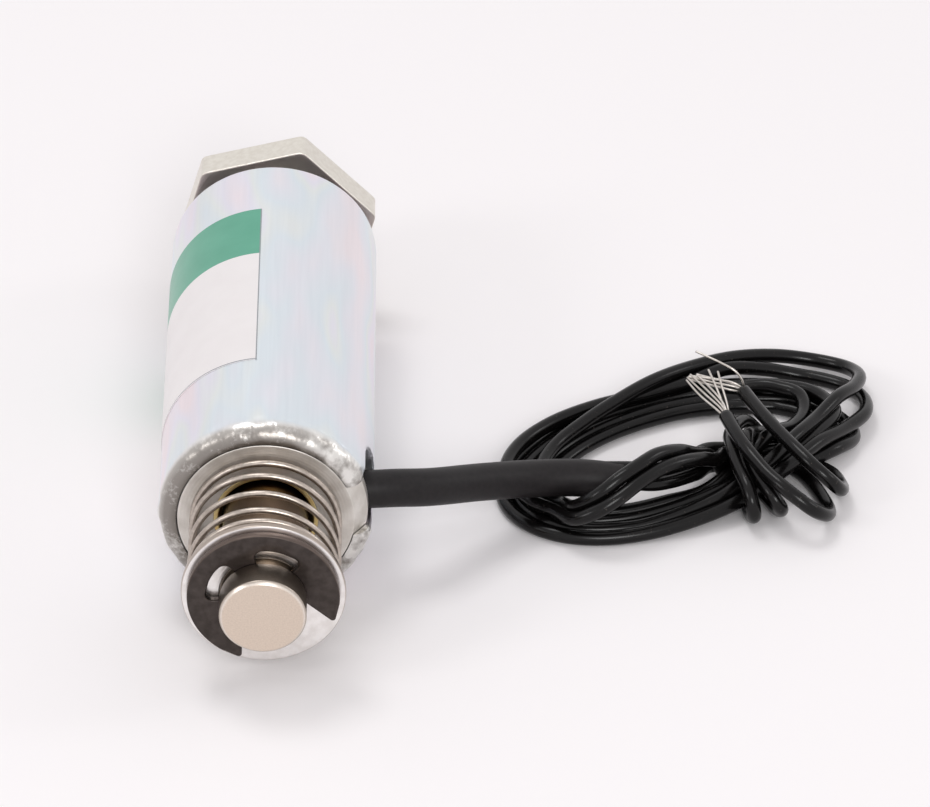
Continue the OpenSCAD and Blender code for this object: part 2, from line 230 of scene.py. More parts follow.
def piece(name, grids, material, body, closed_rows=False, crease=None):
    """Mesh over one or more grids of points. Neighbours in a grid make a face, its columns close
    on themselves, and its rows do too where closed_rows says so. Edges that turn by more than
    crease degrees are sharp."""
    same_point = 1e-7
    points, faces, start = [], [], 0
    for grid in grids:
        rows, columns = grid.shape[:2]
        number = start + np.arange(rows * columns).reshape(rows, columns)
        below = np.roll(number, -1, 0) if closed_rows else number[1:]
        number = number if closed_rows else number[:-1]
        quads = np.stack([number, below, np.roll(below, -1, 1), np.roll(number, -1, 1)], -1)
        faces.append(quads.reshape(-1, 4))
        points.append(grid.reshape(-1, 3))
        start += rows * columns
    mesh = bpy.data.meshes.new(name)
    mesh.from_pydata(np.concatenate(points).tolist(), [], np.concatenate(faces).tolist())
    work = bmesh.new()
    work.from_mesh(mesh)
    bmesh.ops.remove_doubles(work, verts=work.verts, dist=same_point)
    bmesh.ops.recalc_face_normals(work, faces=work.faces)
    work.to_mesh(mesh)
    work.free()
    mesh.shade_smooth()
    if crease:
        mesh.set_sharp_from_angle(angle=np.radians(crease))
    mesh.materials.append(material)
    made = placed(name, mesh)
    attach(made, body)
    return made


lead_d, sleeve_d = 1.4, 3.6
coil_centre, coil_tilt = np.array([40.2, 3.3]), np.radians(36)
coil_half = np.array([20.3, 10.7])


def wound(keys):
    """Coiled stretch: the angle runs round an ellipse, and each key is the turns made, how far
    inside the ellipse the lead lies there, and its height."""
    points_a_turn = 24
    key = np.array(keys)
    turns = np.linspace(key[0, 0], key[-1, 0], int(points_a_turn * (key[-1, 0] - key[0, 0])) + 1)
    inside, height = eased(key[:, 0], key[:, 1:], turns).T
    angle = 2 * np.pi * turns - np.pi / 2
    along = (coil_half[0] - inside) * np.cos(angle)
    across = (coil_half[1] - inside) * np.sin(angle)
    return np.column_stack([coil_centre[0] + along * np.cos(coil_tilt) - across * np.sin(coil_tilt),
                            coil_centre[1] + along * np.sin(coil_tilt) + across * np.cos(coil_tilt),
                            np.maximum(height, lead_d / 2)])


sleeve_route = [(6.6, -16.8, 10.3), (9.5, -16.7, 10.2), (12, -16.1, 9.9), (15, -14.7, 9.0), (20, -10.9, 6.9),
                (25, -7.9, 5.2), (29.5, -6.8, 4.5), (33.4, -6.9, 4.1)]
# Lead A: out of the sleeve, three turns, over the sleeve's end, twice round the bundle.
start_a = [(29.5, -6.4, 5.3), (34, -6.1, 5.1), (37.1, -4.9, 4.1), (39.7, -2.4, 3.2)]
turns_a = [
    (0, 7.6, 2.5), (0.045, 4.3, 2.2), (0.07, 2.8, 2.1), (0.095, 1.3, 1.4), (0.125, 1.4, 0.9),
    (0.15, 3.9, 0.8), (0.205, 7.4, 0.8), (0.335, 8.1, 0.8), (0.47, 5.4, 1), (0.55, 4, 0.9),
    (0.595, 3.6, 0.8), (0.75, 4.5, 0.7), (0.91, 4.3, 0.8), (1, 3.7, 2.1), (1.015, 3.9, 2.9),
    (1.03, 4.3, 3.7), (1.06, 4.3, 3.7), (1.09, 4.6, 2.8), (1.12, 5.1, 2.3), (1.165, 6, 2.2),
    (1.21, 6.9, 2.3), (1.295, 7.3, 2.3), (1.36, 6, 2.2), (1.405, 4.5, 1.4), (1.465, 2.6, 0.8),
    (1.55, 1, 0.7), (1.625, 0.6, 0.8), (1.75, 1.6, 0.8), (1.905, 1.4, 0.8), (2, 1.2, 2.8),
    (2.04, 1.8, 3.8), (2.07, 2.2, 4.1), (2.105, 2.6, 3.8), (2.145, 2.3, 4), (2.185, 1.4, 3.1),
    (2.205, 0.8, 2.6), (2.235, 0, 2), (2.26, -0.5, 1.4), (2.31, -0.7, 1), (2.39, 0.4, 2.2),
    (2.45, 1.7, 3), (2.495, 2.5, 3.4), (2.54, 2.7, 2.9), (2.595, 2.3, 2.2), (2.7, 3.3, 2.1),
    (2.775, 3.7, 2)]
end_a = [
    (28.1, -8.1, 2.3), (29, -10.4, 3.7), (31.1, -11.2, 5.6), (33.1, -10.4, 6.9), (35, -8.9, 7.4),
    (36.8, -7.1, 7.4), (38.9, -5.1, 6.4), (40.4, -3.2, 4.8), (42.2, -1.2, 3), (43.5, -1.2, 1.2),
    (45, -3.2, 0.7), (45.5, -5.5, 0.7), (45.8, -7.6, 0.8), (46, -9.2, 1.8), (45.8, -9.3, 3.2),
    (45.4, -8.2, 4.2), (44.6, -5.4, 4.8), (44.1, -2.4, 5.1), (44, 0.1, 4.5), (44.6, 2.5, 4),
    (45.7, 4.8, 3), (46.8, 5.2, 1.7), (47.9, 3.5, 0.7), (49.5, 1, 0.7), (51.3, -1.3, 0.7),
    (52.6, -4.4, 0.7), (53.2, -7, 0.9), (52.8, -9.5, 2.1), (51.5, -10.7, 3.5), (50, -10.4, 4.6),
    (48.5, -9.3, 5.3), (47, -7.4, 5.7), (45.6, -5.2, 6.3), (44.5, -2.5, 6.5), (43.6, 0.8, 6.4)]
# Lead B: the same way beside it, and its free end lies behind that of lead A.
start_b = [(29.5, -7.4, 4.2), (34, -7.5, 4.4), (36.8, -6.8, 3.8), (40.5, -3.5, 2.6)]
turns_b = [
    (0, 6.8, 1.1), (0.045, 1.7, 1.5), (0.07, 0.4, 2.1), (0.095, -0.6, 1.5), (0.11, -0.6, 0.9),
    (0.155, 2, 0.7), (0.2, 5, 0.7), (0.34, 6.5, 0.7), (0.47, 4, 0.9), (0.545, 2.5, 0.8),
    (0.595, 2.1, 0.7), (0.75, 3.1, 0.7), (0.905, 2.9, 0.9), (1, 2.2, 2), (1.075, 1.5, 3),
    (1.09, 1.7, 3), (1.12, 1.9, 2.8), (1.185, 4.2, 2.1), (1.245, 5.9, 2), (1.305, 5.8, 1.7),
    (1.405, 3.1, 0.9), (1.465, 1.1, 0.7), (1.545, -0.4, 0.7), (1.625, -0.9, 0.7), (1.75, 0.2, 0.8),
    (1.905, -0.1, 0.9), (2, -0.2, 2.2), (2.055, 0.3, 3.5), (2.105, 0.3, 2.6), (2.155, -0.2, 1.7),
    (2.17, -0.1, 1.4), (2.22, 0.8, 0.9), (2.275, 1.8, 0.7), (2.325, 2, 0.8), (2.405, 2.1, 2.2),
    (2.465, 3, 2.2), (2.53, 1, 2.1), (2.595, -0.7, 2.1), (2.655, -0.5, 2.2), (2.715, 1.3, 2.2),
    (2.785, 1.8, 2.3)]
end_b = [
    (28.9, -12, 3.4), (31, -12.5, 4.6), (33.1, -11.8, 5.7), (35, -10.3, 6.4), (37.2, -8.3, 6.6),
    (39.1, -6.8, 6.3), (41.2, -5, 5.4), (42.6, -3.5, 4.3), (43.6, -1.4, 3.5), (44.5, -0.9, 2),
    (45.5, -1.7, 0.7), (46.6, -3.1, 0.7), (47.5, -4.7, 0.7), (48.2, -6.8, 1), (48.6, -8.3, 1.8),
    (48.3, -9.1, 3), (47.5, -8.4, 3.9), (46.6, -6.7, 4.3), (45.8, -4.3, 4.5), (45.5, -2.4, 4.7),
    (45.7, 0.1, 4.6), (46.5, 2.2, 3.4), (47.7, 3.5, 2.5), (49.3, 3.6, 1.5), (50.9, 2.2, 0.7),
    (52.7, 0.4, 0.7), (53.9, -1, 0.8), (54.6, -3.4, 1.1), (54.3, -5.7, 2.4), (53.3, -6.5, 3.9),
    (51.8, -5.8, 5), (50.3, -4, 5.6), (48.5, -0.9, 5.8), (46.8, 2.7, 5.8), (45.5, 6, 5.7)]

def patches(material, size, detail, roughness=0.5):
    """Random patches of that width in millimetres, one number or one for each axis, as a value
    about a half."""
    spot = add(material, "ShaderNodeTexCoord").outputs["Object"]
    spread = add(material, "ShaderNodeMapping", {
        "Vector": spot, "Scale": [1 / (width * mm) for width in np.broadcast_to(size, 3)]})
    return add(material, "ShaderNodeTexNoise", {"Vector": spread, "Scale": 1,
                                                "Detail": detail, "Roughness": roughness}).outputs["Fac"]


def worked(name, light, dark, size, relief, detail=4, contrast=(0.35, 0.65), strength=1.0, **finish):
    """A finish whose colour runs between two shades and whose surface is lifted, both by one set
    of patches. size is a patch's width and relief its height, in millimetres; 0 is a flat one."""
    material = finish_named(name, {key.replace("_", " "): value for key, value in finish.items()})
    grain = patches(material, size, detail)
    tone = add(material, "ShaderNodeMapRange", {"Value": grain, "From Min": contrast[0],
                                                "From Max": contrast[1]})
    shade = add(material, "ShaderNodeMix", {"Factor": tone, "A": linear(dark),
                                            "B": linear(light)}, data_type="RGBA")
    feed(surface(material), {"Base Color": shade})
    if relief:
        lifted = add(material, "ShaderNodeBump", {"Height": grain, "Distance": relief * mm,
                                                  "Strength": strength})
        feed(surface(material), {"Normal": lifted})
    return material


def recoloured(material, value, own, other, code, most=1.0):
    """Blends the finish's own colour, where the value is own, into this one, where it is other."""
    base = surface(material).inputs["Base Color"].links[0].from_socket
    share = add(material, "ShaderNodeMapRange", {"Value": value, "From Min": own, "From Max": other,
                                                 "To Max": most})
    mixed = add(material, "ShaderNodeMix", {"Factor": share, "A": base,
                                            "B": linear(code)}, data_type="RGBA")
    feed(surface(material), {"Base Color": mixed})


# Plasticised PVC off the extruder: black, smooth, with a soft gloss, a faint ripple and a little
# pale dust that clings to it.
pvc = worked("extruded_black_pvc", "0E0C0C", "040404", 0.9, 0.02, detail=3, contrast=(0, 1),
             strength=0.25, Roughness=0.22, Specular_IOR_Level=0.26)
recoloured(pvc, patches(pvc, 0.3, 4), 0.66, 0.74, "57504B", most=0.5)
# The sleeve is softer and duller than the leads, with a fine uneven skin.
soft_sleeve = worked("soft_black_sleeve", "221E1F", "0C0A0B", 0.5, 0.03, detail=6, contrast=(0, 1),
                     strength=0.3, Roughness=0.5, Specular_IOR_Level=0.25)

ring_step = 0.35
sleeve_path = spaced(through(sleeve_route, 400), ring_step) * mm
sleeve = piece("sleeve", [tube(sleeve_path, sleeve_d / 2 * mm, 28)], soft_sleeve, "stator")
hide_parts("lead_sleeve")

leads, lead_paths = {}, {}
for tag, start, turns, end in (("a", start_a, turns_a, end_a), ("b", start_b, turns_b, end_b)):
    route = through(np.vstack([start, wound(turns), end]), 3000)
    route[:, 2] = np.maximum(route[:, 2], lead_d / 2)
    lead_paths[tag] = spaced(route, ring_step) * mm
    leads[tag] = piece(f"lead_{tag}", [tube(lead_paths[tag], lead_d / 2 * mm)], pvc, "stator")
    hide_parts(f"lead_wire_{tag}", f"lead_arch_{tag}", f"lead_tail_{tag}")
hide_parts("lead_coil")

# Tinned copper strands, bared and splayed by hand: fine bright wires that meet in a fold, and a
# few that stand up on their own.
strand_d, strand_step = 0.21, 0.2
strand_routes = {
    "a": [[(43.6, 0.8, 6.4), (43.1, 2.0, 6.5), (41.7, 4.2, 6.6), (40.1, 7.2, 6.5)],
          [(43.8, 0.7, 6.5), (43.2, 2.2, 6.7), (42.0, 4.4, 6.8), (40.4, 7.4, 6.7)],
          [(43.4, 0.9, 6.3), (42.7, 2.1, 6.3), (41.2, 4.3, 6.4), (40.0, 6.9, 6.4)],
          [(43.7, 1.0, 6.6), (43.3, 2.4, 6.9), (42.3, 4.5, 7.0), (41.0, 7.2, 6.8)],
          [(43.9, 0.9, 6.4), (43.7, 2.6, 6.8), (43.3, 4.6, 7.3), (43.0, 6.6, 7.6)],
          [(43.6, 1.0, 6.5), (43.2, 2.8, 6.9), (42.6, 5.0, 7.4), (42.1, 6.9, 7.6)]],
    "b": [[(45.5, 6.0, 5.8), (44.6, 5.9, 6.3), (42.7, 6.3, 6.5), (40.2, 7.2, 6.6)],
          [(45.4, 6.1, 6.0), (44.5, 6.3, 6.5), (42.5, 6.8, 6.6), (40.3, 7.5, 6.5)],
          [(45.3, 5.9, 5.7), (44.4, 5.6, 6.1), (42.8, 6.0, 6.3), (40.4, 7.0, 6.4)],
          [(45.5, 6.2, 5.9), (44.2, 6.6, 6.3), (42.2, 7.2, 6.5), (41.0, 7.6, 6.6)],
          [(45.6, 6.1, 6.0), (45.3, 6.1, 7.0), (44.6, 6.3, 7.9), (43.3, 6.9, 8.4), (40.9, 8.3, 8.8)]]}
# Drawn copper with a dipped tin coat: bright, a little warm.
tin = worked("tinned_copper_strand", "E6E1DB", "B1AAA2", 0.3, 0, detail=2, contrast=(0, 1),
             Metallic=1.0, Roughness=0.3)
for tag, routes in strand_routes.items():
    wires = [tube(spaced(through(route, 200), strand_step) * mm, strand_d / 2 * mm, 8)
             for route in routes]
    strands = piece(f"strands_{tag}", wires, tin, "stator")
    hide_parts(f"tinned_end_{tag}")

# ---- Tube ----
# Deep-drawn steel tube with its own rear wall, zinc plated and passivated. The front rim is
# rolled in over the plate by a tool that leaves it lumpy, and one slot lets the leads out.
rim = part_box("housing")[0].y
axis_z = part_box("housing")[1].z / 2
tube_r, tube_len, bore_r, rear_wall = 10, 45.3, 9, 1.8
lip_round, face_r, shoulder, plate_t = 1.6, 8.3, 1.7, 2.6
slot_w, slot_len, slot_angle = 5.4, 7.8, np.radians(6)
rear_inner, neck_r, plate_seat_r = tube_len - rear_wall, 6, 9.5


def smooth_step(x, low, high):
    """0 below low and 1 above high, with a cubic between."""
    t = np.clip((x - low) / (high - low), 0, 1)
    return t * t * (3 - 2 * t)


def waves(turn, along, count, seed, round_waves, along_waves):
    """Random relief of about unit height: a sum of cosines with whole numbers of waves round the
    tube and up to along_waves radians per millimetre along it."""
    draw = np.random.default_rng(seed)
    whole = draw.integers(round_waves[0], round_waves[1] + 1, count)
    rate = draw.uniform(-along_waves, along_waves, count)
    phase = draw.uniform(0, 2 * np.pi, count)
    relief = np.zeros(np.broadcast(turn, along).shape)
    for k in range(count):
        relief += np.cos(whole[k] * turn + rate[k] * along + phase[k])
    return relief * np.sqrt(2 / count)


def rounded(outline, radius, steps=6):
    """Closed outline with its corners rounded: each becomes a parabola between two points at
    that distance from it, with one more point on either side to hold the shading."""
    p = np.asarray(outline, float)
    back, on = np.roll(p, 1, 0) - p, np.roll(p, -1, 0) - p
    back_len, on_len = (np.linalg.norm(v, axis=1)[:, None] for v in (back, on))
    cut = np.minimum(np.broadcast_to(radius, len(p))[:, None], 0.3 * np.minimum(back_len, on_len))
    back, on = back / back_len, on / on_len
    u = np.linspace(0, 1, steps)[None, :, None]
    arc = p[:, None] + cut[:, None] * ((1 - u) ** 2 * back[:, None] + u**2 * on[:, None])
    held = np.concatenate([(p + 1.5 * cut * back)[:, None], arc, (p + 1.5 * cut * on)[:, None]], 1)
    return held.reshape(-1, 2)


def revolved(profile, columns, out=0, on=0):
    """Surface of revolution: each point of the profile, a radius and a station, goes round the
    axis, moved out and along by arrays of one row per point and one column per angle."""
    turn = np.linspace(0, 2 * np.pi, columns, endpoint=False)[None]
    r = profile[:, :1] + out
    station = profile[:, 1:] + on + 0 * turn
    return np.stack([r * np.cos(turn), station, r * np.sin(turn)], -1) * mm + [0, rim, axis_z]


def lines(points, counts):
    """Straight lines through the points, each as that many even steps from its start to just
    before its end."""
    p = np.asarray(points, float)
    shares = [np.linspace(0, 1, count, endpoint=False)[:, None] for count in counts]
    return np.vstack([(1 - u) * start + u * end for start, end, u in zip(p, p[1:], shares)])


roll_angle = np.linspace(0, np.pi / 2, 34, endpoint=False)
lip = np.column_stack([tube_r - lip_round + lip_round * np.sin(roll_angle),
                       lip_round * (1 - np.cos(roll_angle))])
# Rows lie closest behind the lip and beside the slot.
close_until, slot_until, plain_until = 3.4, slot_len + 0.8, tube_len - 0.6
outside = np.vstack([
    lines([(face_r, 0), (tube_r - lip_round, 0)], [2]), lip,
    lines([(tube_r, lip_round), (tube_r, close_until), (tube_r, slot_until), (tube_r, plain_until)],
          [18, 24, 22])])
rear = np.vstack([
    lines([(tube_r, plain_until), (tube_r, tube_len - 0.4)], [2]),
    lines([(tube_r - 0.04, tube_len - 0.16), (tube_r - 0.4, tube_len - 0.01)], [4]),
    lines([(tube_r - 0.4, tube_len), (neck_r, tube_len)], [5])])
inside = lines([
    (neck_r, tube_len), (neck_r, rear_inner), (bore_r, rear_inner), (bore_r, slot_len + 1),
    (bore_r, plate_t), (plate_seat_r, plate_t), (plate_seat_r, shoulder), (face_r, 0)],
    [2, 3, 10, 12, 2, 3, 10])
profile = np.vstack([outside, rear, inside])
columns = 640
turn = np.linspace(0, 2 * np.pi, columns, endpoint=False)[None]
arc = np.r_[0, np.cumsum(np.linalg.norm(np.diff(profile, axis=0), axis=1))][:, None]
station = profile[:, 1:]
is_outside = np.arange(len(profile))[:, None] < len(outside)
on_lip = (1 - smooth_step(station, 1.3, 2.6)) * is_outside
lump_height, ripple_height, pit_depth, pit_from = 0.042, 0.006, 0.025, 1.1
lump = (lump_height * waves(turn, arc, 60, seed=4, round_waves=(4, 34), along_waves=2.2)
        + ripple_height * waves(turn, arc, 90, seed=5, round_waves=(60, 150), along_waves=7))
pit = waves(turn, arc, 90, seed=6, round_waves=(30, 130), along_waves=7)
pit = -pit_depth * np.clip(pit - pit_from, 0, 1)
thickness = np.minimum(0.06 + 0.4 * arc, 1)
# A crease lies behind the roll on the upper right, where the tool has lifted.
crease_depth, crease_at, crease_w, crease_turn = 0.05, 1.9, 0.13, np.radians(55)
crease_line = (-crease_depth * np.exp(-((station - crease_at) / crease_w) ** 2)
               * smooth_step(np.cos(turn - crease_turn), 0.86, 0.95))
lift = on_lip * thickness * (lump + pit) + crease_line * is_outside
# The edge of the slot is broken: the outer surface falls away in a quarter round beside it.
slot_end, far_off = slot_len - slot_w / 2, 9
across = tube_r * np.sin(turn - slot_angle)
to_slot = np.hypot(across, np.maximum(station - slot_end, 0)) - slot_w / 2
to_slot = np.where(np.cos(turn - slot_angle) > 0, to_slot, far_off)
edge_r = 0.25 + 0.3 * (1 - smooth_step(station, 1.5, 3))
near = np.clip(edge_r - to_slot, 0, edge_r)
fallen = edge_r - np.sqrt(edge_r**2 - near**2 + 1e-9)
lift = lift - is_outside * np.minimum(fallen, 0.8 * thickness)
facing = np.zeros((len(profile), 2))
facing[:len(outside), 0] = 1
facing[2:2 + len(lip)] = np.column_stack([np.sin(roll_angle), -np.cos(roll_angle)])
facing[:2] = [0, -1]

# Bright zinc under a clear passivation film, which shows pale pink, blue and green streaks
# along the drawing direction. The rolled lip carries painted shade and reflection, grey near the
# plate and bright further out, and a painted highlight on its right side.
def from_the_axis(material):
    """Distance from the solenoid's axis."""
    spot = add(material, "ShaderNodeTexCoord").outputs["Object"]
    flat_spot = add(material, "ShaderNodeMapping", {"Vector": spot, "Location": (0, 0, -axis_z),
                                                    "Scale": (1, 0, 1)})
    return add(material, "ShaderNodeVectorMath", {0: flat_spot},
               operation="LENGTH").outputs["Value"]


def along_the_axis(material):
    """Place along Y."""
    spot = add(material, "ShaderNodeTexCoord").outputs["Object"]
    return add(material, "ShaderNodeSeparateXYZ", {"Vector": spot}).outputs["Y"]


def toned(material, value, start, stops):
    """Colours at distances in millimetres past start, which is in metres, blended between."""
    low, high = stops[0][0], stops[-1][0]
    share = add(material, "ShaderNodeMapRange", {"Value": value, "From Min": start + low * mm,
                                                 "From Max": start + high * mm})
    ramp = add(material, "ShaderNodeValToRGB", {"Fac": share})
    while len(ramp.color_ramp.elements) < len(stops):
        ramp.color_ramp.elements.new(0.5)
    for stop, (at, code) in zip(ramp.color_ramp.elements, stops):
        stop.position, stop.color = (at - low) / (high - low), linear(code)
    return ramp.outputs["Color"]


zinc = finish_named("passivated_zinc_plating", {"Metallic": 1.0})
# The film's colours lie at these thousandths of the streaks' value.
film = toned(zinc, patches(zinc, (5, 18, 5), 1.5, 0.4), 0, [
    (330, "EFE7EA"), (420, "E7E8EE"), (500, "E1E9EE"), (560, "E7EBEA"), (620, "E9E7F0"), (700, "F1E6EA")])
fine = patches(zinc, (0.35, 9, 0.35), 2)
drawn = add(zinc, "ShaderNodeMix", {"Factor": fine, "A": linear("E3E5E8"), "B": linear("FFFFFF")},
            data_type="RGBA")
wall_colour = add(zinc, "ShaderNodeMix", {"Factor": 0.4, "A": film, "B": drawn},
                  data_type="RGBA", blend_type="MULTIPLY")
grit = patches(zinc, 0.4, 5, 0.65)
# Painted shade and reflection: the lip is painted dark beside the plate, for the shaded gap there,
# and paler outwards.
lip_painted_shade_and_reflection = toned(zinc, from_the_axis(zinc), 0, [
    (8.3, "3E3B39"), (8.42, "7D7872"), (9.0, "8E8984"), (9.45, "928D88"), (9.85, "B4B0AB"),
    (10.0, "E2E0DD")])
# It is rubbed bright in patches, and carries a painted highlight on the right except where it is hollow.
rubbed = add(zinc, "ShaderNodeMath", {0: grit, 1: patches(zinc, 2.4, 2)}, operation="ADD")
rubbed = add(zinc, "ShaderNodeMapRange", {"Value": rubbed, "From Min": 1.06,
                                          "From Max": 1.62})
spot = add(zinc, "ShaderNodeTexCoord").outputs["Object"]
to_right = add(zinc, "ShaderNodeSeparateXYZ", {"Vector": spot})
right_painted_highlight = add(zinc, "ShaderNodeMapRange", {"Value": to_right.outputs["X"], "From Min": 2.5 * mm,
                                           "From Max": 6 * mm, "To Max": 0.85})
hollow = add(zinc, "ShaderNodeMapRange", {"Value": patches(zinc, 1.1, 3), "From Min": 0.3,
                                          "From Max": 0.56})
right_painted_highlight = add(zinc, "ShaderNodeMath", {0: right_painted_highlight, 1: hollow},
              operation="MULTIPLY")
bright = add(zinc, "ShaderNodeMath", {0: rubbed, 1: right_painted_highlight},
             operation="MAXIMUM")
lip_colour = add(zinc, "ShaderNodeMix", {"Factor": bright, "A": lip_painted_shade_and_reflection,
                                         "B": linear("ECEAE6")}, data_type="RGBA")
lip_end, wall_start, lip_relief, wall_relief = 1.0, 2.0, 0.5, 0.04
past_lip = add(zinc, "ShaderNodeMapRange", {
    "Value": along_the_axis(zinc), "From Min": rim + lip_end * mm, "From Max": rim + wall_start * mm},
    interpolation_type="SMOOTHSTEP")
colour = add(zinc, "ShaderNodeMix", {"Factor": past_lip, "A": lip_colour,
                                     "B": wall_colour}, data_type="RGBA")
rough = add(zinc, "ShaderNodeMapRange", {"Value": fine, "To Min": 0.26, "To Max": 0.4})
relief = add(zinc, "ShaderNodeMix", {"Factor": past_lip, "A": lip_relief, "B": wall_relief},
             data_type="FLOAT")
pitted = add(zinc, "ShaderNodeBump", {"Height": grit, "Strength": relief,
                                      "Distance": 0.035 * mm})
feed(surface(zinc), {"Base Color": colour, "Roughness": rough,
                     "Normal": pitted})

shell = revolved(profile, columns, lift * facing[:, :1], lift * facing[:, 1:])
housing = piece("tube", [shell], zinc, "stator", closed_rows=True)
end_turn = np.linspace(np.pi / 2, -np.pi / 2, 40)
punch_front, punch_from_r, punch_to_r, slot_crease = -2, 4.2, 12, 38
round_end = np.column_stack([slot_end + slot_w / 2 * np.cos(end_turn), slot_w / 2 * np.sin(end_turn)])
flat = np.vstack([[(punch_front, slot_w / 2)], round_end, [(punch_front, -slot_w / 2)]])
cos, sin = np.cos(slot_angle), np.sin(slot_angle)
walls = [np.column_stack([r * cos - flat[:, 1] * sin, flat[:, 0], r * sin + flat[:, 1] * cos]) * mm
         + [0, rim, axis_z] for r in (punch_from_r, punch_to_r)]
n = len(flat)
cutter = bpy.data.meshes.new("slot_punch")
cutter.from_pydata(np.vstack(walls).tolist(), [], [list(range(n)), list(range(2 * n - 1, n - 1, -1))] + [
    [(k + 1) % n, k, k + n, (k + 1) % n + n] for k in range(n)])
cutter = placed("slot_punch", cutter)
cut = housing.modifiers.new("slot", "BOOLEAN")
cut.operation, cut.solver, cut.object = "DIFFERENCE", "EXACT", cutter
bpy.context.view_layer.update()
evaluated = housing.evaluated_get(bpy.context.evaluated_depsgraph_get())
slotted = bpy.data.meshes.new_from_object(evaluated)
housing.modifiers.clear()
housing.data = slotted
slotted.shade_smooth()
slotted.set_sharp_from_angle(angle=np.radians(slot_crease))
bpy.data.objects.remove(cutter)
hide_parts("housing")


# ---- Front plate ----
# Bevelled steel disc, turned and nickel plated. The tube's rolled lip holds it against a step in
# the bore, and its hole is countersunk for the guide tube.
def turn_marks(material, pitch, depth):
    """Adds the lathe's rings, round the axis and that pitch apart, over the finish's relief. The
    wave pattern has 20 / (2 pi) rings a metre for each unit of its scale."""
    spot = add(material, "ShaderNodeTexCoord").outputs["Object"]
    centred = add(material, "ShaderNodeMapping", {"Vector": spot, "Location": (0, 0, -axis_z)})
    rings = add(material, "ShaderNodeTexWave", {"Vector": centred,
                                                "Scale": 2 * np.pi / (20 * pitch * mm),
                                                "Distortion": 0.6},
                wave_type="RINGS", rings_direction="Y")
    relief = surface(material).inputs["Normal"].links[0].from_socket
    lathe = add(material, "ShaderNodeBump", {"Height": rings.outputs["Fac"], "Distance": depth * mm,
                                             "Strength": 1, "Normal": relief})
    feed(surface(material), {"Normal": lathe})


plate_nickel = worked("turned_nickel_plate", "E2DED8", "D0CBC4", 1.6, 0.008, Metallic=1.0, Roughness=0.46)
turn_marks(plate_nickel, 0.3, 0.004)
guide_r, guide_flare, mouth_depth = 4.5, 0.35, 0.8
plate_outline = rounded([(guide_r + guide_flare, 0), (face_r - 0.1, 0), (9.43, shoulder),
                         (9.48, plate_t), (guide_r, plate_t), (guide_r, mouth_depth)], 0.06)
plate = piece("front_plate_disc", [revolved(plate_outline, 256)], plate_nickel, "stator",
              closed_rows=True, crease=30)
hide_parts("front_plate")

# ---- Guide tube ----
# Drawn brass tube that the plunger slides in. Its front end is belled into the plate's
# countersink, and its rear end is pressed over the core.
guide_bore, guide_len = 4.06, 32.9
brass = worked("drawn_brass", "FFF0B4", "FFDF98", (0.8, 4.8, 0.8), 0.006, Metallic=1.0, Roughness=0.34)
guide_outline = rounded([(guide_bore + guide_flare, 0), (guide_r + guide_flare, 0), (guide_r, mouth_depth),
                         (guide_r, guide_len), (guide_bore, guide_len), (guide_bore, mouth_depth)],
                        [0.12, 0.06, 0.3, 0.05, 0.05, 0.6])
guide = piece("brass_tube", [revolved(guide_outline, 192)], brass, "stator",
              closed_rows=True, crease=30)
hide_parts("guide_tube")

# ---- Winding and what holds it ----
# Nylon bobbin, enamelled copper wire under polyester tape, a fibre ring, and glass sleeves over
# the joints. All of it is inside the tube, and only a little shows through the slot.
nylon = worked("moulded_nylon", "EAE4D2", "DDD5BF", 1.2, 0.01, Roughness=0.45)
fibre = worked("vulcanised_fibre", "9B5F44", "7F4A34", 0.6, 0.02, Roughness=0.7)
woven_glass = worked("woven_glass_sleeve", "F1EEE2", "CFCBBB", (0.25, 0.25, 0.1), 0.04, Roughness=0.65)
tape = worked("polyester_tape", "D9C76A", "C4B04E", 2.0, 0.01, Roughness=0.3)
enamel = worked("enamelled_copper_wire", "B4602D", "96481D", 1.5, 0, Metallic=1.0, Roughness=0.3)
winding_d, row_relief = 0.22, 0.1
spot = add(enamel, "ShaderNodeTexCoord").outputs["Object"]
wire_rows = add(enamel, "ShaderNodeTexWave", {
    "Vector": spot, "Scale": 2 * np.pi / (20 * winding_d * mm)}, wave_type="BANDS", bands_direction="Y")
row_bump = add(enamel, "ShaderNodeBump", {"Height": wire_rows.outputs["Fac"],
                                          "Distance": row_relief * mm, "Strength": 1})
feed(surface(enamel), {"Normal": row_bump})
for node, material in (("bobbin", nylon), ("rear_insulator", fibre), ("splice_sleeves", woven_glass),
                       ("winding_tape", tape), ("coil_winding", enamel), ("shim_cone", brass)):
    for material_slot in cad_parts[node].material_slots:
        material_slot.material = material

# ---- Core and neck ----
# Free-cutting steel turned in one piece and nickel plated: the conical seat and flange are inside
# the tube, and the neck behind it carries an M12 x 1 thread.
neck_end, neck_chamfer, pitch, thread_depth, thread_floor_r = 55.5, 0.5, 1.0, 0.61, 5.3
nut_front, nut_rear, under_nut_r = 48.0, 51.2, 5.6
seat_floor, core_front, flange_t = 29.9, 25.6, 1.8
rod_bore, bush_r, bush_depth = 1.56, 2.4, 5
core_steel = worked("turned_plated_steel", "CFCCC6", "BAB7B0", 0.9, 0.005, Metallic=1.0, Roughness=0.34)
turn_marks(core_steel, 0.25, 0.004)
core_outline = rounded([
    (rod_bore, seat_floor), (2.1, seat_floor), (guide_bore - 0.25, core_front), (guide_bore, core_front),
    (guide_bore, guide_len), (guide_r, guide_len), (guide_r, rear_inner - flange_t),
    (bore_r, rear_inner - flange_t), (bore_r, rear_inner), (neck_r, rear_inner), (neck_r, tube_len)], 0.05)
neck_rows = lines([(neck_r, tube_len + 0.02), (neck_r, neck_end - neck_chamfer)], [200])
chamfer_rows = lines([(neck_r, neck_end - neck_chamfer), (neck_r - neck_chamfer, neck_end)], [10])
neck_tail = rounded([(neck_r - neck_chamfer, neck_end), (bush_r, neck_end),
                     (bush_r, neck_end - bush_depth), (rod_bore, neck_end - bush_depth)], [0.05, 0, 0, 0])
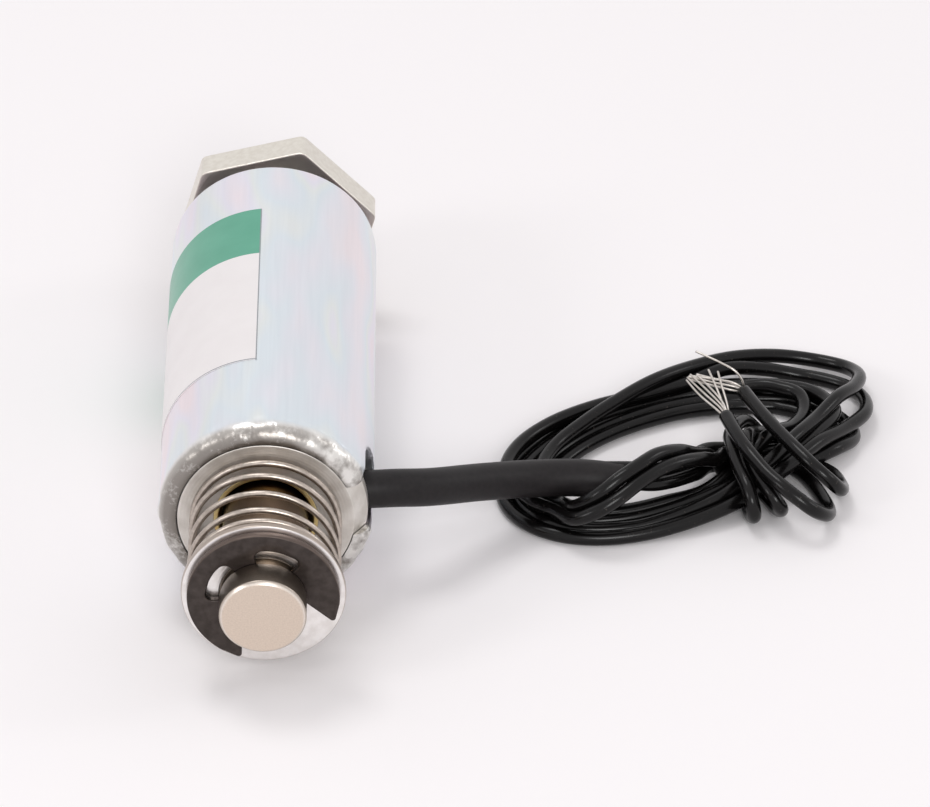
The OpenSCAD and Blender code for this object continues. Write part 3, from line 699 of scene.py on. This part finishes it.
core_profile = np.vstack([core_outline, neck_rows, chamfer_rows, neck_tail])
neck_turn = np.linspace(0, 2 * np.pi, 128, endpoint=False)[None]
neck_station = core_profile[:, 1:]
along_thread = neck_station / pitch - neck_turn / (2 * np.pi)
groove = np.clip(1.25 * np.abs(2 * (along_thread % 1) - 1) - 0.125, 0, 1)
core_r = core_profile[:, :1]
has_thread = (smooth_step(neck_station, tube_len + 0.3, tube_len + 1) * (core_r > neck_r - 0.52)
              * (neck_station > tube_len))
cut_in = -thread_depth * groove * has_thread
# Under the nut the thread stays clear of the nut's bore.
hidden = (neck_station > nut_front + 0.05) & (neck_station < nut_rear - 0.05) & (core_r > neck_r - 0.01)
cut_in = np.where(hidden, np.minimum(cut_in, under_nut_r - 0.02 - neck_r), cut_in)
cut_in = np.maximum(cut_in, thread_floor_r - core_r) * has_thread
core = piece("core_and_neck", [revolved(core_profile, 128, cut_in)], core_steel, "stator",
             closed_rows=True, crease=34)
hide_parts("pole_piece")
# Sintered bronze bush pressed into the neck: matt brown with fine pores.
bronze = worked("sintered_bronze", "A9825A", "7B5B3B", 0.15, 0.03, Metallic=1.0, Roughness=0.5)
for material_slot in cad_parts["rod_bush"].material_slots:
    material_slot.material = bronze

# ---- Nut ----
# Thin hexagon nut turned from steel bar and nickel plated. Tumbling has left it finely mottled
# and has rounded its corners.
across_flats, nut_turn, corner_power = 17.8, np.radians(13.8), 56
edge, mouth, nut_t = 0.13, 0.35, nut_rear - nut_front
nut_angle = np.linspace(0, 2 * np.pi, 720, endpoint=False)[None]
# The outline is a power mean of the six flats, which rounds each corner a little.
flat_sum = sum(np.maximum(np.cos(nut_angle - nut_turn - np.pi / 6 - k * np.pi / 3), 0) ** corner_power
               for k in range(6))
hexagon = across_flats / 2 * flat_sum ** (-1 / corner_power)
turn_in = np.linspace(0, np.pi / 2, 5)[:, None]
face_share = np.linspace(0, 1, 8, endpoint=False)[:, None]
front_face = (under_nut_r + mouth) * (1 - face_share) + (hexagon - 1.6 * edge) * face_share
front_edge = hexagon - edge * (1 - np.sin(turn_in))
bore_row = np.full_like(hexagon, under_nut_r)
mouth_row = np.full_like(hexagon, under_nut_r + mouth * 0.98)
radii = np.vstack([bore_row, mouth_row, front_face, front_edge, np.repeat(hexagon, 6, 0),
                   front_edge[::-1], front_face[::-1], mouth_row, bore_row])
edge_station = (edge * (1 - np.cos(turn_in))).ravel()
front_stations = np.r_[mouth, 0.01, np.zeros(8), edge_station]
nut_stations = np.r_[front_stations, np.linspace(0.3, nut_t - 0.3, 6), nut_t - front_stations[::-1]]
nut_profile = np.column_stack([np.zeros(len(nut_stations)), nut_front + nut_stations])
nut_nickel = worked("tumbled_nickel", "E3DFD6", "DAD5CB", 0.5, 0.008, detail=5, Metallic=1.0,
                    Roughness=0.34)
# Painted shade: its front face, against which the panel goes, is painted darker for the shade it lies in.
recoloured(nut_nickel, along_the_axis(nut_nickel), rim + (nut_front + 0.06) * mm, rim + nut_front * mm,
           "B9B0AB")
nut = piece("hexagon_nut", [revolved(nut_profile, 720, radii)], nut_nickel, "stator",
            closed_rows=True, crease=34)
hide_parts("mounting_nut")

# ---- Label ----
# Self-adhesive white vinyl wrapped part of the way round: a thin grey line runs near its edges
# and a green band lies across its rear end. It carries nothing else.
label_front, label_len, label_from, label_to = 11.7, 25.9, np.radians(95.4), np.radians(255.4)
label_t, clear_of_tube = 0.08, 0.01
wrap = np.linspace(label_from, label_to, 161)
label_at = np.linspace(label_front, label_front + label_len, 60)
arc_at, rows_at = np.meshgrid(wrap, label_at)
skins = [np.stack([r * np.cos(arc_at), rows_at, r * np.sin(arc_at)], -1) * mm + [0, rim, axis_z]
         for r in (tube_r + clear_of_tube, tube_r + label_t)]
rows_n, cols_n = arc_at.shape
number = np.arange(rows_n * cols_n).reshape(rows_n, cols_n)
under, over = number, number + rows_n * cols_n


def sheet_faces(grid):
    """Faces over a grid of numbers."""
    return np.stack([grid[:-1, :-1], grid[1:, :-1], grid[1:, 1:], grid[:-1, 1:]], -1).reshape(-1, 4)


def rim_faces(a, b):
    """Faces between two lines of numbers."""
    return np.stack([a[:-1], b[:-1], b[1:], a[1:]], -1)


label_faces = np.vstack([sheet_faces(over), sheet_faces(under)[:, ::-1]] + [
    rim_faces(pick(under), pick(over)) for pick in (
        lambda g: g[0], lambda g: g[-1][::-1], lambda g: g[:, 0][::-1], lambda g: g[:, -1])])
label_mesh = bpy.data.meshes.new("label")
label_points = np.concatenate([skin.reshape(-1, 3) for skin in skins])
label_mesh.from_pydata(label_points.tolist(), [], label_faces.tolist())
# The print's own map: its zero is the label's front corner, and one unit of it is 100 mm.
map_mm = 100
flat_map = label_mesh.uv_layers.new(name="print")
corner_vertex = np.empty(len(label_mesh.loops), np.int32)
label_mesh.loops.foreach_get("vertex_index", corner_vertex)
print_at = np.stack([(arc_at - label_from) * tube_r, rows_at - label_front], -1).reshape(-1, 2)
flat_map.data.foreach_set("uv", np.vstack([print_at, print_at])[corner_vertex].ravel() / map_mm)
work = bmesh.new()
work.from_mesh(label_mesh)
bmesh.ops.recalc_face_normals(work, faces=work.faces)
work.to_mesh(label_mesh)
work.free()
label_mesh.shade_smooth()
label_mesh.set_sharp_from_angle(angle=np.radians(30))

# Glossy printed vinyl with a faint orange peel.
vinyl = finish_named("printed_vinyl", {"Roughness": 0.3, "Specular IOR Level": 0.45})
print_map = add(vinyl, "ShaderNodeUVMap", uv_map="print")
axes = add(vinyl, "ShaderNodeSeparateXYZ", {"Vector": print_map.outputs["UV"]})


def between(material, value, low, high):
    """1 where the value lies between low and high, given in millimetres, and 0 elsewhere."""
    over_low = add(material, "ShaderNodeMath", {0: value, 1: low / map_mm}, operation="GREATER_THAN")
    under_high = add(material, "ShaderNodeMath", {0: value, 1: high / map_mm}, operation="LESS_THAN")
    return add(material, "ShaderNodeMath", {0: over_low, 1: under_high},
               operation="MULTIPLY")


wrap_len, band_from, edge_w, front_edge_w = (label_to - label_from) * tube_r, 18.1, 0.1, 0.14
band = between(vinyl, axes.outputs["Y"], band_from, label_len + 1)
any_line = between(vinyl, axes.outputs["Y"], 0.0, front_edge_w)
for low, high in ((0.0, edge_w), (wrap_len - edge_w, wrap_len)):
    side_line = between(vinyl, axes.outputs["X"], low, high)
    any_line = add(vinyl, "ShaderNodeMath", {0: any_line, 1: side_line}, operation="MAXIMUM")
cloud = patches(vinyl, 3, 3)
white, green = (
    add(vinyl, "ShaderNodeMix", {"Factor": cloud, "A": linear(dark), "B": linear(light)}, data_type="RGBA")
    for dark, light in (("E6E1E1", "EEEAEA"), ("4E9A80", "63AD93")))
printed = add(vinyl, "ShaderNodeMix", {"Factor": band, "A": white,
                                       "B": green}, data_type="RGBA")
lined = add(vinyl, "ShaderNodeMix", {"Factor": any_line, "A": printed,
                                     "B": linear("8E9297")}, data_type="RGBA")
orange_peel = add(vinyl, "ShaderNodeBump", {"Height": cloud, "Distance": 0.03 * mm, "Strength": 0.5})
feed(surface(vinyl), {"Base Color": lined, "Normal": orange_peel})
label_mesh.materials.append(vinyl)
label = placed("label", label_mesh)
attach(label, "stator")
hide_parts("label_film")

# ---- Return spring ----
# Stainless music wire wound in six turns, with a closed turn at either end. It stands between the
# plate and the washer, and the plunger's stroke presses it together.
spring_rest, wire_d, spring_od, spring_turns, seat_gap = 11.2, 0.6, 14.2, 6, 0.01
turns_at = np.linspace(0, spring_turns, spring_turns * 72 + 1)
open_turns = spring_turns - 2
opened = np.clip(turns_at - 1, 0, open_turns) / open_turns
# The open turns aren't quite even: they stand a little ahead of an even pitch.
ahead_of_even = np.sin(np.pi * opened) / 13 - np.sin(2 * np.pi * opened) / 30
rise = (seat_gap + wire_d / 2 + wire_d * (turns_at - open_turns * opened)
        + (spring_rest - 2 * seat_gap - 3 * wire_d) * (opened + ahead_of_even))
spring_r, spring_angle, stroke = (spring_od - wire_d) / 2, 2 * np.pi * turns_at, 6
spring_line = np.column_stack([spring_r * np.cos(spring_angle), -rise, -spring_r * np.sin(spring_angle)])
spring_wire = worked("drawn_spring_wire", "BEB4AA", "A89E95", 0.5, 0.003, Metallic=1.0, Roughness=0.28)
spring_line = spring_line * mm + [0, rim, axis_z]
spring = piece("spring", [tube(spring_line, wire_d / 2 * mm)], spring_wire, "stator", crease=50)
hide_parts("return_spring")
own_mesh(spring)

# ---- Washer and clip ----
# Punched steel washer, bright, which carries the spring's load to the clip in the plunger's groove.
clip_front, clip_t, washer_t, washer_r, washer_bore = -12.6, 0.8, 0.6, 7.55, 4.06
clip_rear = clip_front + clip_t
bright_steel = worked("bright_punched_steel", "F1EEEC", "E4E0DD", 0.9, 0.006, detail=3, Metallic=1.0,
                      Roughness=0.28)
turn_marks(bright_steel, 0.35, 0.003)
# Its rim is darker and brown-grey.
recoloured(bright_steel, from_the_axis(bright_steel), (washer_r - 0.12) * mm, (washer_r - 0.02) * mm,
           "A99D93")
washer_outline = rounded([(washer_bore, clip_rear), (washer_r, clip_rear), (washer_r, clip_rear + washer_t),
                          (washer_bore, clip_rear + washer_t)], [0.08, 0.2, 0.08, 0.08])
washer = piece("washer", [revolved(washer_outline, 256)], bright_steel, "spring_seat",
               closed_rows=True, crease=34)
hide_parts("spring_washer")

# The clip is punched from spring steel and blackened. Punching and tumbling leave its edges
# rounded, and wear shows brown and grey through the black.
clip_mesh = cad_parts["e_clip"].data.copy()
work = bmesh.new()
work.from_mesh(clip_mesh)
same_place, same_radius, past_radius = 1e-6, 2e-6, 5e-6
bmesh.ops.remove_doubles(work, verts=work.verts, dist=same_place)
bmesh.ops.dissolve_limit(work, angle_limit=np.radians(1), verts=work.verts, edges=work.edges)


def vertex_radius(vertex):
    """Distance of a vertex from the solenoid's axis."""
    return float(np.hypot(vertex.co.x, vertex.co.z - axis_z))


# Each long chord of a round edge is cut in six, and the new points are moved out to the round.
shortest_chord, deepest_sag = 0.25 * mm, 0.12 * mm
round_edges = [e for e in work.edges if abs(e.verts[0].co.y - e.verts[1].co.y) < same_place
               and abs(vertex_radius(e.verts[0]) - vertex_radius(e.verts[1])) < same_radius
               and e.calc_length() > shortest_chord]
known = np.array(sorted({round(vertex_radius(e.verts[0]), 7) for e in round_edges}))
split = bmesh.ops.subdivide_edges(work, edges=round_edges, cuts=5, use_grid_fill=True)
for v in [g for g in split["geom_inner"] if isinstance(g, bmesh.types.BMVert)]:
    r = vertex_radius(v)
    target = known[np.argmin(np.abs(known - r - past_radius))]
    if 0 <= target - r < deepest_sag:
        v.co.x *= target / r
        v.co.z = axis_z + (v.co.z - axis_z) * target / r
bmesh.ops.recalc_face_normals(work, faces=work.faces)
work.to_mesh(clip_mesh)
work.free()
clip_mesh.materials.clear()
clip_mesh.shade_smooth()
black_oxide = worked("blackened_spring_steel", "4F4845", "3D3734", 0.7, 0.01, detail=5,
                     contrast=(0.3, 0.75), Metallic=0.9, Roughness=0.4)
# The black is worn to brown round the outer edge.
recoloured(black_oxide, from_the_axis(black_oxide), 6.9 * mm, 7.0 * mm, "645852")
clip_mesh.materials.append(black_oxide)
clip = placed("retaining_clip", clip_mesh)
softened = clip.modifiers.new("die_roll", "BEVEL")
softened.width, softened.segments, softened.limit_method = 0.13 * mm, 3, "ANGLE"
softened.angle_limit, softened.harden_normals = np.radians(50), True
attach(clip, "armature")
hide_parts("e_clip")

# ---- Plunger ----
# Turned from soft iron and nickel plated: a flat front face with a chamfer, the clip's
# groove, and a conical nose that fits the core. The push rod is pressed into its rear end.
plunger_r, face, chamfer, groove_r, nose_base, nose_tip = 4, -15.6, 0.3, 3.5, 19, 23.6
rod_r, rod_hold, groove_play = 1.5, 6, 0.05
plunger_nickel = worked("ground_nickel_plate", "FFFFFF", "F1F0EF", 0.16, 0.005, detail=3,
                        contrast=(0.3, 0.7), Metallic=1.0, Roughness=0.3)
# The face is satin and warm. A painted highlight makes its chamfer bright, and painted shade and
# reflection darken the side next to the clip and towards the tube.
speckle = surface(plunger_nickel).inputs["Base Color"].links[0].from_socket
bar_tone_and_painted_light = toned(plunger_nickel, along_the_axis(plunger_nickel), rim, [
    (-15.6, "DCCDBE"), (-15.57, "DCCDBE"), (-15.52, "F0E8E0"), (-15.46, "E4DBD2"),
    (-15.38, "B5ABA0"), (-14.2, "978D82"), (-12.7, "837970"), (-11.5, "9C9083"), (-8.0, "A99C8F"),
    (-5.0, "8A7868"), (-2.0, "5A4839"), (0.5, "30221A")])
bar_colour = add(plunger_nickel, "ShaderNodeMix", {"Factor": 1.0, "A": bar_tone_and_painted_light, "B": speckle},
                 data_type="RGBA", blend_type="MULTIPLY")
feed(surface(plunger_nickel), {"Base Color": bar_colour})
plunger_outline = rounded([
    (0, face), (plunger_r - chamfer, face), (plunger_r, face + chamfer),
    (plunger_r, clip_front - groove_play), (groove_r, clip_front - groove_play),
    (groove_r, clip_rear + groove_play), (plunger_r, clip_rear + groove_play), (plunger_r, nose_base),
    (2, nose_tip), (rod_r, nose_tip), (rod_r, nose_tip - rod_hold), (0, nose_tip - rod_hold)],
    [0, 0.08, 0.08, 0.05, 0.03, 0.03, 0.05, 0.1, 0.1, 0, 0, 0])
plunger = piece("plunger_bar", [revolved(plunger_outline, 256)], plunger_nickel, "armature",
                closed_rows=True, crease=30)
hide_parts("plunger")

rod_steel = worked("ground_stainless_rod", "CFCFD0", "B4B4B5", (0.2, 1.6, 0.2), 0.005, Metallic=1.0,
                   Roughness=0.25)
rod_end = 58
rod_outline = rounded([(0, nose_tip - rod_hold), (rod_r, nose_tip - rod_hold), (rod_r, rod_end - chamfer),
                       (rod_r - chamfer, rod_end), (0, rod_end)], [0, 0, 0.08, 0.08, 0])
rod = piece("thrust_rod", [revolved(rod_outline, 96)], rod_steel, "armature",
            closed_rows=True, crease=30)
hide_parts("push_rod")
